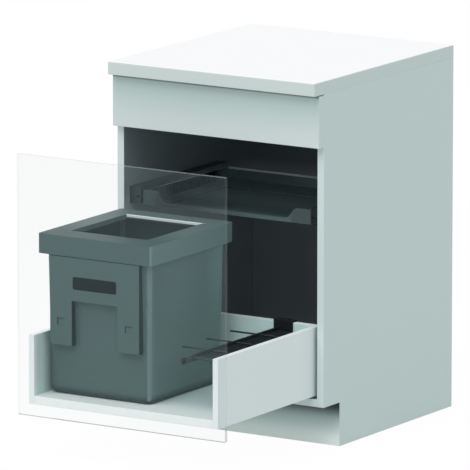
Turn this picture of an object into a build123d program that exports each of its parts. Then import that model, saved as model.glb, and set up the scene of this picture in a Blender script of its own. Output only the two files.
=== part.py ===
"""Base cabinet with a pull-out waste drawer, shown with the drawer open.

Millimetres. X runs across the cabinet, Y from front to back, Z up. While the pieces
are made, Y = 0 is the plane of the carcass front edges and Z = 0 is the floor. When
they are written, the part is moved so that its origin is the middle of the underside
of the plinth board.
"""
from build123d import *
from math import atan, degrees
import os

os.makedirs("parts", exist_ok=True)

# ---------------------------------------------------------------- carcass
cabinet_width = 600.0
carcass_height = 780.0
plinth_height = 110.0
side_depth = 615.0
board = 19.0
worktop_thickness = 32.0
worktop_overhang = 45.0
worktop_edge_radius = 5.0
toe_recess = 75.0
plinth_board_thickness = 16.0
back_thickness = 8.0
back_inset = 7.0
groove_depth = 7.0
stretcher_depth = 90.0
front_rail_height = 94.0

# ---------------------------------------------------------------- fronts
false_front_height = 129.0
false_front_thickness = 22.0
front_gap = 3.0
front_side_gap = 1.0
clear_front_thickness = 10.0
clear_front_drop = 2.0
clear_front_corner = 3.0
clear_front_bevel = 0.6

# ---------------------------------------------------------------- drawer box
drawer_left_inside = 40.0
closed_gap = 2.0
drawer_length = 477.0
drawer_wall_gap = 8.5
drawer_floor_gap = 7.0
drawer_side_thickness = 15.0
drawer_side_height = 172.0
drawer_bottom_thickness = 8.0
drawer_bottom_recess = 13.0
drawer_groove = 5.0
drawer_rail_thickness = 16.0
drawer_back_thickness = 16.0

# ---------------------------------------------------------------- runners
runner_sheet = 1.5
runner_setback = 16.0
runner_overrun = 3.0
runner_wall_height = 32.0
runner_lip = 5.0
mid_shortfall = 37.0
mid_setback = 22.0
mid_wall = 1.2
drawer_member_wall = 8.0
roller_diameter = 6.0
roller_length = 16.0
roller_pitch = 63.0
rollers_per_row = 4
slide_gap = 0.3
guide_gap = 0.8
runner_side_gap = 2.2
catch_width = 14.0
catch_length = 38.0
catch_height = 8.0

# ---------------------------------------------------------------- waste bin and bag frame
seat_gap = 0.2
bin_room_front = 33.0
bin_room_rear = 54.0
frame_wall_gap = 10.5
divider_zone = 197.5
bin_wall = 2.5
bin_taper = 8.0
bin_corner = 28.0
bin_foot_radius = 14.0
bin_inset_side = 9.0
bin_inset_front = 14.0
bin_rim_thickness = 3.0
bin_rim_lip = 9.0
grip_plate_width = 258.0
grip_plate_proud = 12.5
grip_leg_width = 63.0
grip_leg_drop = 113.0
grip_top_gap = 2.0
grip_bar_height = 107.0
slot_width = 126.0
slot_height = 32.0
slot_radius = 5.0
slot_above_cutout = 28.0
pocket_width = 21.0
pocket_height = 18.0
pocket_depth = 1.5
pocket_offset = 98.0
pocket_drop = 45.0
frame_height = 49.0
frame_wall = 2.5
frame_top = 3.0
frame_corner = 9.0
frame_edge_radius = 1.5
frame_gap = 0.3
frame_side_play = 0.6
opening_side_margin = 53.0
opening_front_margin = 68.0
opening_rear_margin = 54.0
opening_corner = 3.0
opening_lip = 12.0
bag_bar_depth = 4.0
bag_bar_height = 7.0
bag_bar_overhang = 8.0
bag_bar_sink = 0.5
bag_bar_play = 0.1

# ---------------------------------------------------------------- upper tray and its rails
tray_above_bottom = 428.0
tray_front_setback = 26.0
tray_depth = 399.0
tray_wall = 2.5
tray_floor = 3.0
tray_rim_height = 33.0
tray_rim_width = 5.0
tray_corner = 10.0
tray_wing_height = 37.0
tray_wing_width = 36.0
tray_wing_slope = 40.0
tray_lip_height = 10.0
tray_lip_thickness = 8.0
tray_bead = 1.5
tray_bead_inset_side = 60.0
tray_bead_inset_rear = 108.0
tray_bead_inset_front = 36.0
tray_rib_pitch = 33.0
tray_rib = 1.6
tray_clearance_over_bin = 2.0
rail_width = 33.0
rail_height = 42.0
rail_length = 404.0
rail_play = 2.0
tongue_width = 14.0
tongue_thickness = 6.0
tongue_height = 16.0
rail_pin_radius = 3.0
rail_pin_inset = 12.0

# ---------------------------------------------------------------- divider at the right of the drawer
blade_thickness = 6.0
blade_height = 16.0
blade_overhang = 42.0
web_width = 51.0
web_thickness = 2.5
web_drop = 7.0
web_lip = 8.0
divider_front_room = 27.0
divider_top_drop = 15.0
rod_diameter = 4.5
rod_reach = 82.0
rod_pitch = 109.0
rod_count = 3
rod_first = 82.0
rod_tail = 4.0
divider_bin_gap = 18.0
hook_width = 54.5
hook_thickness = 3.0
hook_front_drop = 31.0
hook_rear_drop = 23.0
hook_play = 0.3

# ---------------------------------------------------------------- fasteners
dowel_diameter = 8.0
dowel_length = 30.0
dowel_in_side = 11.0
dowel_in_drawer_side = 9.0
cam_diameter = 15.0
cam_depth = 13.5
cam_setback = 34.0
cam_bolt_diameter = 6.0
cam_bolt_in_side = 10.0
screw_diameter = 4.0
screw_head_diameter = 8.0
screw_head_height = 2.0
screw_bite = 14.0
fastener_play = 0.05
fastener_flats = 10

# ---------------------------------------------------------------- places worked out from the sizes
half_width = cabinet_width / 2
inner_half = half_width - board
carcass_bottom = plinth_height
carcass_top = plinth_height + carcass_height
cabinet_floor = carcass_bottom + board
back_front_face = side_depth - back_inset - back_thickness
false_front_bottom = carcass_top - front_gap - false_front_height
front_half = half_width - front_side_gap

drawer_open_now = drawer_length - drawer_left_inside
drawer_front = -(closed_gap + drawer_open_now)
drawer_rear = drawer_front + drawer_length
drawer_outer = inner_half - drawer_wall_gap
drawer_inner = drawer_outer - drawer_side_thickness
drawer_low = cabinet_floor + drawer_floor_gap
drawer_top = drawer_low + drawer_side_height
panel_low = drawer_low + drawer_bottom_recess
panel_top = panel_low + drawer_bottom_thickness
drawer_back_front_face = drawer_rear - drawer_back_thickness
drawer_rail_rear = drawer_front + drawer_rail_thickness

runner_length = drawer_length + runner_overrun
mid_length = drawer_length - mid_shortfall
runner_centre = drawer_inner - runner_side_gap - runner_sheet - guide_gap - mid_wall - slide_gap
runner_centre = runner_centre - roller_length / 2
runner_half = roller_length / 2 + slide_gap + mid_wall + guide_gap
roller_stack = roller_diameter + 2 * slide_gap
web_low = panel_low - 3 * runner_sheet - 2 * roller_stack
lower_roller_z = web_low + runner_sheet + roller_stack / 2
mid_plate_low = web_low + runner_sheet + roller_stack
upper_roller_z = mid_plate_low + runner_sheet + roller_stack / 2
mid_front = mid_setback - drawer_open_now / 2

tray_low = cabinet_floor + tray_above_bottom
tray_front = tray_front_setback
tray_rear = tray_front + tray_depth
tray_half = inner_half - rail_width - rail_play
rail_low = tray_low + 1.0
rail_inner = inner_half - rail_width
tongue_low = tray_low + tongue_height

frame_high = tray_low - tray_clearance_over_bin
frame_low = frame_high - frame_height
frame_left = -inner_half + frame_wall_gap + 2.5
frame_right = drawer_inner - divider_zone
frame_front = drawer_front + bin_room_front
frame_rear = drawer_back_front_face - bin_room_rear
bin_middle_x = (frame_left + frame_right) / 2
bin_middle_y = (frame_front + frame_rear) / 2
bin_low = panel_top + seat_gap
bin_high = frame_high - frame_top - frame_gap
bin_top_width = frame_right - frame_left - 2 * bin_inset_side
bin_top_depth = frame_rear - frame_front - 2 * bin_inset_front
bin_front_high = bin_middle_y - bin_top_depth / 2
grip_face = bin_front_high - grip_plate_proud
grip_high = frame_low - grip_top_gap
cutout_high = grip_high - grip_bar_height
grip_low = cutout_high - grip_leg_drop

divider_top = drawer_top - divider_top_drop
web_top = divider_top - web_drop
rod_z = web_top + rod_diameter / 2 + slide_gap
rod_left = frame_right - bin_inset_side + divider_bin_gap
blade_left = rod_left + rod_reach
blade_right = blade_left + blade_thickness
hook_front_face = drawer_back_front_face - hook_play - hook_thickness
blade_front = drawer_front + divider_front_room
web_front = blade_front + blade_overhang

origin_y = toe_recess + plinth_board_thickness / 2


# ---------------------------------------------------------------- small shared shapes
def block(x0, x1, y0, y1, z0, z1):
    """A rectangular solid between two opposite corners."""
    place = Pos((x0 + x1) / 2, (y0 + y1) / 2, (z0 + z1) / 2)
    return place * Box(abs(x1 - x0), abs(y1 - y0), abs(z1 - z0))


def rod_x(x0, x1, y, z, radius, bar=Cylinder):
    """A bar that lies along X, round unless another bar is given."""
    return Pos((x0 + x1) / 2, y, z) * Rot(0, 90, 0) * bar(radius, abs(x1 - x0))


def rod_up(z0, z1, x, y, radius, bar=Cylinder):
    """A bar that stands along Z, round unless another bar is given."""
    return Pos(x, y, (z0 + z1) / 2) * bar(radius, abs(z1 - z0))


def flats(radius, length):
    """An upright bar with the flats of a small fastener, as wide as a round one."""
    return extrude(RegularPolygon(radius, fastener_flats), amount=length / 2, both=True)


def pin_x(x0, x1, y, z, radius):
    """A fastener, or its bore, along X."""
    return rod_x(x0, x1, y, z, radius, flats)


def pin_y(y0, y1, x, z, radius):
    """A fastener, or its bore, along Y."""
    return Pos(x, (y0 + y1) / 2, z) * Rot(90, 0, 0) * flats(radius, abs(y1 - y0))


def pin_z(z0, z1, x, y, radius):
    """A fastener, or its bore, along Z."""
    return rod_up(z0, z1, x, y, radius, flats)


def soften(shape, axis, radius):
    """The shape with its edges along one axis rounded."""
    return fillet(shape.edges().filter_by(axis), radius)


def group(solids):
    """Several separate solids kept together as one node."""
    return Compound(list(solids))


def mirrored(shape):
    """The same piece for the other side of the cabinet."""
    return mirror(shape, about=Plane.YZ)


# ---------------------------------------------------------------- fastener places
def board_joints():
    """(Y, Z) of each dowelled board end in the carcass, with the board it belongs to."""
    floor_z = carcass_bottom + board / 2
    top_z = carcass_top - board / 2
    rail_z = carcass_top - board - front_rail_height / 2
    rear = back_front_face - stretcher_depth / 2
    return [
        (stretcher_depth / 2, floor_z, "bottom"),
        (rear, floor_z, "bottom"),
        (stretcher_depth / 3, top_z, "front"),
        (rear, top_z, "rear"),
        (board / 2, rail_z, "rail"),
    ]


def cam_joints():
    """(Y, Z) of each cam fitting, beside the dowels of the same board end."""
    floor_z = carcass_bottom + board / 2
    top_z = carcass_top - board / 2
    rear = back_front_face - stretcher_depth / 2
    return [
        (stretcher_depth, floor_z),
        (rear - stretcher_depth / 2, floor_z),
        (stretcher_depth * 2 / 3, top_z),
        (rear + stretcher_depth / 4, top_z),
    ]


def side_signs():
    """Left and right, as the sign of X."""
    return (-1, 1)


def dowel_holes():
    """Bores for the carcass dowels, through both boards of each joint."""
    radius = dowel_diameter / 2 + fastener_play
    length = dowel_length + 2 * fastener_play
    start = inner_half + dowel_in_side + fastener_play
    return [
        pin_x(side * start, side * (start - length), y, z, radius)
        for side in side_signs()
        for y, z, _ in board_joints()
    ]


def cam_holes():
    """Bores for the cam bolts and the cam discs."""
    radius = cam_bolt_diameter / 2 + fastener_play
    holes = []
    for side in side_signs():
        for y, z in cam_joints():
            start = side * (inner_half + cam_bolt_in_side + fastener_play)
            end = side * (inner_half - cam_setback)
            low = z - board / 2
            holes.append(pin_x(start, end, y, z, radius))
            holes.append(
                pin_z(low, low + cam_depth + fastener_play, end, y,
                           cam_diameter / 2 + fastener_play)
            )
    return holes


def worktop_screw_places():
    """(X, Y) of the screws that hold the worktop down."""
    reach = inner_half * 0.6
    rear = back_front_face - stretcher_depth / 2
    return [(x, y) for x in (-reach, reach) for y in (stretcher_depth / 2, rear)]


def false_front_screw_places():
    """(X, Z) of the screws through the front rail into the false front."""
    reach = inner_half * 0.7
    middle = carcass_top - board - front_rail_height / 2
    rise = front_rail_height / 4
    return [(x, z) for x in (-reach, reach) for z in (middle - rise, middle + rise)]


def runner_screw_places():
    """(Y, Z) of the screws of one runner in the cabinet side."""
    z = web_low + runner_wall_height * 0.6
    return [(runner_setback + share * runner_length, z) for share in (0.08, 0.45, 0.85)]


def drawer_dowel_places():
    """(Y, Z) of the dowels that join the drawer sides to the back and the front rail."""
    back_y = drawer_rear - drawer_back_thickness / 2
    rise = (drawer_top - panel_top) / 4
    rail_y = drawer_front + drawer_rail_thickness / 2
    rail_z = drawer_low + drawer_bottom_recess / 2
    return [(back_y, panel_top + rise), (back_y, drawer_top - rise), (rail_y, rail_z)]


# ---------------------------------------------------------------- carcass boards
def right_side_panel():
    """Side panel that reaches the floor, notched for the plinth board."""
    panel = block(inner_half, half_width, 0, side_depth, 0, carcass_top)
    notch_depth = toe_recess + plinth_board_thickness
    panel -= block(inner_half - 1, half_width + 1, -1, notch_depth, -1, plinth_height)
    panel -= block(inner_half - 1, inner_half + groove_depth + fastener_play,
                   back_front_face, back_front_face + back_thickness,
                   carcass_bottom, carcass_top)
    front = panel.edges().filter_by(Axis.Z).group_by(Axis.Y)[0]
    return fillet(front, 0.8)


def bore_side_panel(panel, side):
    """Cut the fastener bores of one side panel."""
    for hole in dowel_holes() + cam_holes():
        panel -= hole
    for y, z in runner_screw_places():
        panel -= pin_x(side * (inner_half - 1), side * (inner_half + screw_bite),
                       y, z, screw_diameter / 2 + fastener_play)
    return panel


def carcass_board(y0, y1, z0, z1, dowels=True, cams=True):
    """A board between the two sides, with its dowel and cam bores."""
    piece = block(-inner_half, inner_half, y0, y1, z0, z1)
    holes = (dowel_holes() if dowels else []) + (cam_holes() if cams else [])
    for hole in holes:
        piece -= hole
    return piece


def bottom_panel():
    """Cabinet floor board."""
    return carcass_board(0, back_front_face, carcass_bottom, cabinet_floor)


def front_stretcher():
    """Flat top board at the front, drilled for the worktop screws."""
    piece = carcass_board(0, stretcher_depth, carcass_top - board, carcass_top)
    return drill_for_worktop(piece)


def rear_stretcher():
    """Flat top board at the rear, drilled for the worktop screws."""
    piece = carcass_board(back_front_face - stretcher_depth, back_front_face,
                          carcass_top - board, carcass_top)
    return drill_for_worktop(piece)


def drill_for_worktop(piece):
    """Clearance holes for the worktop screws, also used for their pilot holes."""
    top = carcass_top + screw_bite
    for x, y in worktop_screw_places():
        piece -= pin_z(carcass_top - board - 1, top, x, y,
                            screw_diameter / 2 + fastener_play)
    return piece


def front_rail():
    """Upright board behind the false front."""
    high = carcass_top - board
    piece = carcass_board(0, board, high - front_rail_height, high, cams=False)
    return drill_for_false_front(piece)


def drill_for_false_front(piece):
    """Holes for the screws that pull the false front against the rail."""
    for x, z in false_front_screw_places():
        piece -= pin_y(board + 1, -screw_bite, x, z, screw_diameter / 2 + fastener_play)
    return piece


def back_panel():
    """Thin back that sits in the grooves of the sides."""
    reach = inner_half + groove_depth
    return block(-reach, reach, back_front_face, back_front_face + back_thickness,
                 carcass_bottom, carcass_top)


def worktop():
    """Worktop with softened front corners and edges."""
    top = block(-half_width, half_width, -worktop_overhang, side_depth,
                carcass_top, carcass_top + worktop_thickness)
    corners = top.edges().filter_by(Axis.Z).group_by(Axis.Y)[0]
    top = fillet(corners, worktop_edge_radius)
    rim = top.edges().group_by(Axis.Z)[-1]
    top = fillet(rim.filter_by(lambda edge: edge.center().Y < side_depth - 1),
                 worktop_edge_radius * 0.5)
    return drill_for_worktop(top)


def false_front():
    """Fixed front panel under the worktop."""
    panel = block(-front_half, front_half, -false_front_thickness, 0,
                  false_front_bottom, carcass_top - front_gap)
    outer = panel.faces().sort_by(Axis.Y)[0].edges()
    return drill_for_false_front(fillet(outer, 1.0))


def plinth_board():
    """Toe board that closes the space under the cabinet."""
    return block(-half_width, half_width, toe_recess,
                 toe_recess + plinth_board_thickness, 0, plinth_height - fastener_play)


# ---------------------------------------------------------------- carcass fasteners
def carcass_dowels():
    """Beech dowels of the carcass joints."""
    start = inner_half + dowel_in_side
    return group(
        pin_x(side * start, side * (start - dowel_length), y, z, dowel_diameter / 2)
        for side in side_signs()
        for y, z, _ in board_joints()
    )


def cam_discs():
    """Cam discs, each with its cross slot."""
    discs = []
    for side in side_signs():
        for y, z in cam_joints():
            x = side * (inner_half - cam_setback)
            low = z - board / 2
            disc = pin_z(low, low + cam_depth, x, y, cam_diameter / 2)
            disc -= block(x - 5, x + 5, y - 0.8, y + 0.8, low - 1, low + 2.5)
            disc -= block(x - 0.8, x + 0.8, y - 5, y + 5, low - 1, low + 2.5)
            discs.append(disc)
    return group(discs)


def cam_bolts():
    """Bolts that run from the side panels to the cam discs."""
    bolts = []
    end = inner_half - cam_setback + cam_diameter / 2 + slide_gap
    for side in side_signs():
        for y, z in cam_joints():
            bolts.append(pin_x(side * (inner_half + cam_bolt_in_side), side * end, y, z,
                               cam_bolt_diameter / 2))
    return group(bolts)


def worktop_screws():
    """Screws up through the stretchers into the worktop."""
    low = carcass_top - board
    return group(
        pin_z(low, carcass_top + screw_bite - 1, x, y, screw_diameter / 2)
        + pin_z(low - screw_head_height, low, x, y, screw_head_diameter / 2)
        for x, y in worktop_screw_places()
    )


def false_front_screws():
    """Screws from inside the cabinet into the false front."""
    return group(
        pin_y(board, 1 - screw_bite, x, z, screw_diameter / 2)
        + pin_y(board, board + screw_head_height, x, z, screw_head_diameter / 2)
        for x, z in false_front_screw_places()
    )


def runner_screws():
    """Screws that hold both runners to the cabinet sides."""
    face = inner_half - runner_sheet
    return group(
        pin_x(side * face, side * (inner_half + screw_bite - 1), y, z, screw_diameter / 2)
        + pin_x(side * face, side * (face - screw_head_height), y, z,
                screw_head_diameter / 2)
        for side in side_signs()
        for y, z in runner_screw_places()
    )


# ---------------------------------------------------------------- drawer box
def clear_front():
    """Clear full-height front with eased corners and bevelled front edges."""
    low = carcass_bottom - clear_front_drop
    high = false_front_bottom - front_gap
    pane = block(-front_half, front_half, drawer_front - clear_front_thickness,
                 drawer_front, low, high)
    pane = soften(pane, Axis.Y, clear_front_corner)
    return chamfer(pane.faces().sort_by(Axis.Y)[0].edges(), clear_front_bevel)


def right_drawer_side():
    """Drawer side with a groove for the bottom panel."""
    side = block(drawer_inner, drawer_outer, drawer_front, drawer_rear,
                 drawer_low, drawer_top)
    top = side.faces().sort_by(Axis.Z)[-1].edges().filter_by(Axis.Y)
    side = fillet(top, 1.5)
    side -= block(drawer_inner - 1, drawer_inner + drawer_groove,
                  drawer_rail_rear - drawer_groove, drawer_rear + 1,
                  panel_low, panel_top)
    return cut_drawer_dowels(side)


def drawer_dowel_span(sign, play=0.0):
    """X of the two ends of one drawer dowel."""
    outer = drawer_inner + dowel_in_drawer_side + play
    return sign * outer, sign * (outer - dowel_length - 2 * play)


def cut_drawer_dowels(piece):
    """Bores for the dowels of the drawer box."""
    for sign in side_signs():
        start, end = drawer_dowel_span(sign, fastener_play)
        for y, z in drawer_dowel_places():
            piece -= pin_x(start, end, y, z, dowel_diameter / 2 + fastener_play)
    return piece


def drawer_bottom():
    """Bottom panel, in the grooves of the sides and the rebate of the front rail."""
    reach = drawer_inner + drawer_groove - fastener_play
    return block(-reach, reach, drawer_rail_rear - drawer_groove + fastener_play,
                 drawer_rear, panel_low, panel_top)


def drawer_front_rail():
    """Strip that closes the drawer at the front, under the level of the bottom."""
    rail = block(-drawer_inner, drawer_inner, drawer_front, drawer_rail_rear,
                 drawer_low, panel_top)
    rail -= block(-drawer_inner - 1, drawer_inner + 1, drawer_rail_rear - drawer_groove,
                  drawer_rail_rear + 1, panel_low, panel_top + 1)
    return cut_drawer_dowels(rail)


def drawer_back():
    """Back of the drawer, standing on the bottom panel."""
    back = block(-drawer_inner, drawer_inner, drawer_back_front_face, drawer_rear,
                 panel_top, drawer_top)
    back = fillet(back.faces().sort_by(Axis.Z)[-1].edges().filter_by(Axis.X), 1.5)
    return cut_drawer_dowels(back)


def drawer_dowels():
    """Dowels of the drawer box."""
    dowels = []
    for sign in side_signs():
        start, end = drawer_dowel_span(sign)
        for y, z in drawer_dowel_places():
            dowels.append(pin_x(start, end, y, z, dowel_diameter / 2))
    return group(dowels)


# ---------------------------------------------------------------- runners
def right_runner_cabinet():
    """Folded steel member that is screwed to the cabinet side."""
    y0, y1 = runner_setback, runner_setback + runner_length
    left = runner_centre - runner_half - runner_sheet
    right = runner_centre + runner_half
    lip_high = web_low + runner_sheet + runner_lip
    member = block(left, inner_half, y0, y1, web_low, web_low + runner_sheet)
    member += block(left, left + runner_sheet, y0, y1, web_low, lip_high)
    member += block(right, right + runner_sheet, y0, y1, web_low, lip_high)
    member += block(inner_half - runner_sheet, inner_half, y0, y1, web_low,
                    web_low + runner_wall_height)
    for y, z in runner_screw_places():
        member -= pin_x(inner_half - 2 * runner_sheet, inner_half + 1, y, z,
                        screw_diameter / 2 + fastener_play)
    return member


def right_runner_mid():
    """Middle member: a plate with two side walls that keeps both rows of rollers."""
    y0, y1 = mid_front, mid_front + mid_length
    half = roller_length / 2 + slide_gap
    low = web_low + runner_sheet + guide_gap
    high = panel_low - runner_sheet - guide_gap
    member = block(runner_centre - half - mid_wall, runner_centre + half + mid_wall,
                   y0, y1, mid_plate_low, mid_plate_low + runner_sheet)
    for sign in side_signs():
        inner = runner_centre + sign * half
        member += block(inner, inner + sign * mid_wall, y0, y1, low, high)
    return member


def right_runner_rollers():
    """Rollers in two rows: the lower one at the rear, the upper one at the front."""
    x0 = runner_centre - roller_length / 2
    x1 = runner_centre + roller_length / 2
    end_room = roller_diameter * 2
    rollers = []
    for index in range(rollers_per_row):
        step = end_room + index * roller_pitch
        rear_y = mid_front + mid_length - step
        front_y = mid_front + step
        rollers.append(rod_x(x0, x1, rear_y, lower_roller_z, roller_diameter / 2))
        rollers.append(rod_x(x0, x1, front_y, upper_roller_z, roller_diameter / 2))
    return group(rollers)


def right_runner_drawer():
    """Drawer member: a channel, open below, under the bottom panel."""
    y0, y1 = drawer_rail_rear + closed_gap, drawer_rear
    left = runner_centre - runner_half - runner_sheet
    right = runner_centre + runner_half
    low = panel_low - runner_sheet - drawer_member_wall
    member = block(left, right + runner_sheet, y0, y1, panel_low - runner_sheet, panel_low)
    member += block(left, left + runner_sheet, y0, y1, low, panel_low)
    member += block(right, right + runner_sheet, y0, y1, low, panel_low)
    return member


def right_runner_catch():
    """Catch under the drawer bottom that locks the drawer to its runner."""
    right = runner_centre - runner_half - runner_sheet
    y0 = drawer_rail_rear + closed_gap
    body = block(right - catch_width, right, y0, y0 + catch_length,
                 panel_low - catch_height, panel_low)
    grip = rod_up(panel_low - catch_height - 1, panel_low - catch_height / 2,
                  right - catch_width, y0 + catch_length / 2, catch_width * 0.4)
    return body - grip


# ---------------------------------------------------------------- waste bin
def tapered_box(inset, low, high, foot_radius):
    """Tapered, round-cornered box: the bin's outside, moved in by a wall's thickness."""
    slope = bin_taper / (bin_high - bin_low)
    drawn_in = inset + slope * (bin_high - high)
    mouth = Pos(bin_middle_x, bin_middle_y, high) * RectangleRounded(
        bin_top_width - 2 * drawn_in, bin_top_depth - 2 * drawn_in, bin_corner - inset)
    box = extrude(mouth, amount=high - low, dir=(0, 0, -1), taper=degrees(atan(slope)))
    return fillet(box.edges().group_by(Axis.Z)[0], foot_radius)


def grip_outline(inset):
    """Front view of the raised grip plate: an upside-down U."""
    half = grip_plate_width / 2
    leg = half - grip_leg_width
    outer = Pos(0, (grip_low + grip_high) / 2) * Rectangle(
        2 * (half - inset), grip_high - grip_low - 2 * inset)
    hollow_high = cutout_high + inset
    hollow_low = grip_low - 1
    hollow = Pos(0, (hollow_low + hollow_high) / 2) * Rectangle(
        2 * (leg + inset), hollow_high - hollow_low)
    return outer - hollow


def grip_plate(inset, face, reach):
    """The raised plate, from its face back into the bin's front wall."""
    place = Plane(origin=(bin_middle_x, face, 0), x_dir=(1, 0, 0), z_dir=(0, -1, 0))
    return extrude(place * grip_outline(inset), amount=-reach)


def hand_slot():
    """Opening for the fingers in the bar of the grip plate."""
    z = cutout_high + slot_above_cutout + slot_height / 2
    place = Plane(origin=(bin_middle_x, grip_face - 1, z), x_dir=(1, 0, 0), z_dir=(0, -1, 0))
    return extrude(place * RectangleRounded(slot_width, slot_height, slot_radius),
                   amount=-(bin_wall + 2))


def grip_pockets():
    """Shallow square pockets on the two legs of the grip plate."""
    z = cutout_high - pocket_drop
    pockets = []
    for sign in side_signs():
        x = bin_middle_x + sign * pocket_offset
        pockets.append(block(x - pocket_width / 2, x + pocket_width / 2, grip_face - 1,
                             grip_face + pocket_depth, z - pocket_height, z))
    return pockets


def bin_rim():
    """Rolled rim round the mouth of the bin."""
    reach = frame_wall + frame_side_play
    width = frame_right - frame_left - 2 * reach
    depth = frame_rear - frame_front - 2 * reach
    corner = bin_corner
    sheet = bin_rim_thickness * 0.7
    low = bin_high - bin_rim_thickness
    flange = Pos(bin_middle_x, bin_middle_y, low) * extrude(
        RectangleRounded(width, depth, corner), amount=bin_rim_thickness)
    lip = Pos(bin_middle_x, bin_middle_y, low - bin_rim_lip) * extrude(
        RectangleRounded(width, depth, corner)
        - RectangleRounded(width - 2 * sheet, depth - 2 * sheet, corner - sheet),
        amount=bin_rim_lip)
    return flange + lip


def waste_bin():
    """Moulded bin with an even wall that follows the grip plate."""
    shell = tapered_box(0, bin_low, bin_high, bin_foot_radius)
    shell += grip_plate(0, grip_face, grip_plate_proud + bin_taper + bin_wall)
    shell += bin_rim()
    hollow = tapered_box(bin_wall, bin_low + bin_wall, bin_high + 1,
                         bin_foot_radius - bin_wall)
    hollow += grip_plate(bin_wall, grip_face + bin_wall,
                         grip_plate_proud + bin_taper + bin_wall)
    shell -= hollow
    shell -= hand_slot()
    for pocket in grip_pockets():
        shell -= pocket
    return shell


def opening_outline(grow=0.0):
    """Outline of the frame's opening, centred on its own middle."""
    width = frame_right - frame_left - 2 * opening_side_margin
    depth = frame_rear - frame_front - opening_front_margin - opening_rear_margin
    return RectangleRounded(width + 2 * grow, depth + 2 * grow, opening_corner + grow)


def opening_place(z):
    """Middle of the frame's opening at a height."""
    shift = (opening_front_margin - opening_rear_margin) / 2
    return Pos(bin_middle_x, bin_middle_y + shift, z)


def bag_frame():
    """Frame that clamps the bag over the bin's rim."""
    width = frame_right - frame_left
    depth = frame_rear - frame_front
    cover = Pos(bin_middle_x, bin_middle_y, frame_low) * extrude(
        RectangleRounded(width, depth, frame_corner), amount=frame_height)
    cover = fillet(cover.edges().group_by(Axis.Z)[-1], frame_edge_radius)
    under = Pos(bin_middle_x, bin_middle_y, frame_low) * extrude(
        RectangleRounded(width - 2 * frame_wall, depth - 2 * frame_wall,
                         frame_corner - frame_wall),
        amount=frame_height - frame_top)
    cover -= under
    cover += opening_place(frame_high - opening_lip) * extrude(
        opening_outline(frame_wall), amount=opening_lip - frame_top / 2)
    cover -= opening_place(frame_low) * extrude(opening_outline(), amount=frame_height + 1)
    return cover - bag_bar_room(bag_bar_play, frame_high + 1)


def bag_bar_room(play, high):
    """Room of the bag bar, up to a height, with its play on every side."""
    rear = frame_rear - opening_rear_margin
    half = (frame_right - frame_left) / 2 - opening_side_margin + bag_bar_overhang + play
    low = frame_high - bag_bar_sink - bag_bar_height - play
    return block(bin_middle_x - half, bin_middle_x + half,
                 rear - bag_bar_depth - play, rear + play, low, high)


def bag_bar():
    """Pale bar that pins the bag along the rear edge of the opening."""
    bar = bag_bar_room(0, frame_high - bag_bar_sink)
    return fillet(bar.faces().sort_by(Axis.Y)[0].edges().filter_by(Axis.X), 1.2)


# ---------------------------------------------------------------- upper tray
def tray_front_outline():
    """Front view of the tray's face: a low lip that sweeps up into two wings."""
    lip = tray_lip_height
    wing = tray_half - tray_wing_width
    foot = wing - tray_wing_slope
    with BuildSketch() as face:
        with BuildLine():
            Polyline((-tray_half, 0), (tray_half, 0), (tray_half, tray_wing_height),
                     (wing, tray_wing_height))
            Spline((wing, tray_wing_height), (foot, lip), tangents=[(-1, 0), (-1, 0)])
            Line((foot, lip), (-foot, lip))
            Spline((-foot, lip), (-wing, tray_wing_height), tangents=[(-1, 0), (-1, 0)])
            Polyline((-wing, tray_wing_height), (-tray_half, tray_wing_height),
                     (-tray_half, 0))
        make_face()
    return face.sketch


def tray_face():
    """The tray's front face, as thick as the rolled lip."""
    place = Plane(origin=(0, tray_front, tray_low), x_dir=(1, 0, 0), z_dir=(0, -1, 0))
    face = extrude(place * tray_front_outline(), amount=-tray_lip_thickness)
    plan = Pos(0, (tray_front + tray_rear) / 2, tray_low) * extrude(
        RectangleRounded(2 * tray_half, tray_depth, tray_corner), amount=tray_wing_height)
    return face & plan


def tray_tub():
    """Walls and floor of the tray, open at the front above the lip."""
    middle = (tray_front + tray_rear) / 2
    tub = Pos(0, middle, tray_low) * extrude(
        RectangleRounded(2 * tray_half, tray_depth, tray_corner), amount=tray_rim_height)
    tub -= Pos(0, middle, tray_low + tray_floor) * extrude(
        RectangleRounded(2 * (tray_half - tray_wall), tray_depth - 2 * tray_wall,
                         tray_corner - tray_wall), amount=tray_rim_height)
    tub -= block(-tray_half + tray_wing_width, tray_half - tray_wing_width,
                 tray_front - 1, tray_front + tray_lip_thickness + tray_corner,
                 tray_low + tray_floor, tray_low + tray_wing_height)
    return tub


def tray_rim():
    """Narrow inward rim along the top of the three high walls."""
    middle = (tray_front + tray_rear) / 2
    ring = Pos(0, middle, tray_low + tray_rim_height - tray_wall) * extrude(
        RectangleRounded(2 * tray_half, tray_depth, tray_corner)
        - RectangleRounded(2 * (tray_half - tray_rim_width),
                           tray_depth - 2 * tray_rim_width, tray_corner - tray_rim_width),
        amount=tray_wall)
    return ring - block(-tray_half + tray_wing_width, tray_half - tray_wing_width,
                        tray_front - 1, tray_front + tray_corner,
                        tray_low, tray_low + tray_wing_height)


def tray_floor_bead():
    """Raised bead that frames the flat middle of the tray's floor."""
    half = tray_half - tray_bead_inset_side
    y0 = tray_front + tray_bead_inset_front
    y1 = tray_rear - tray_bead_inset_rear
    middle = (y0 + y1) / 2
    return Pos(0, middle, tray_low + tray_floor) * extrude(
        Rectangle(2 * half, y1 - y0)
        - Rectangle(2 * (half - tray_wall), y1 - y0 - 2 * tray_wall),
        amount=tray_bead)


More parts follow.
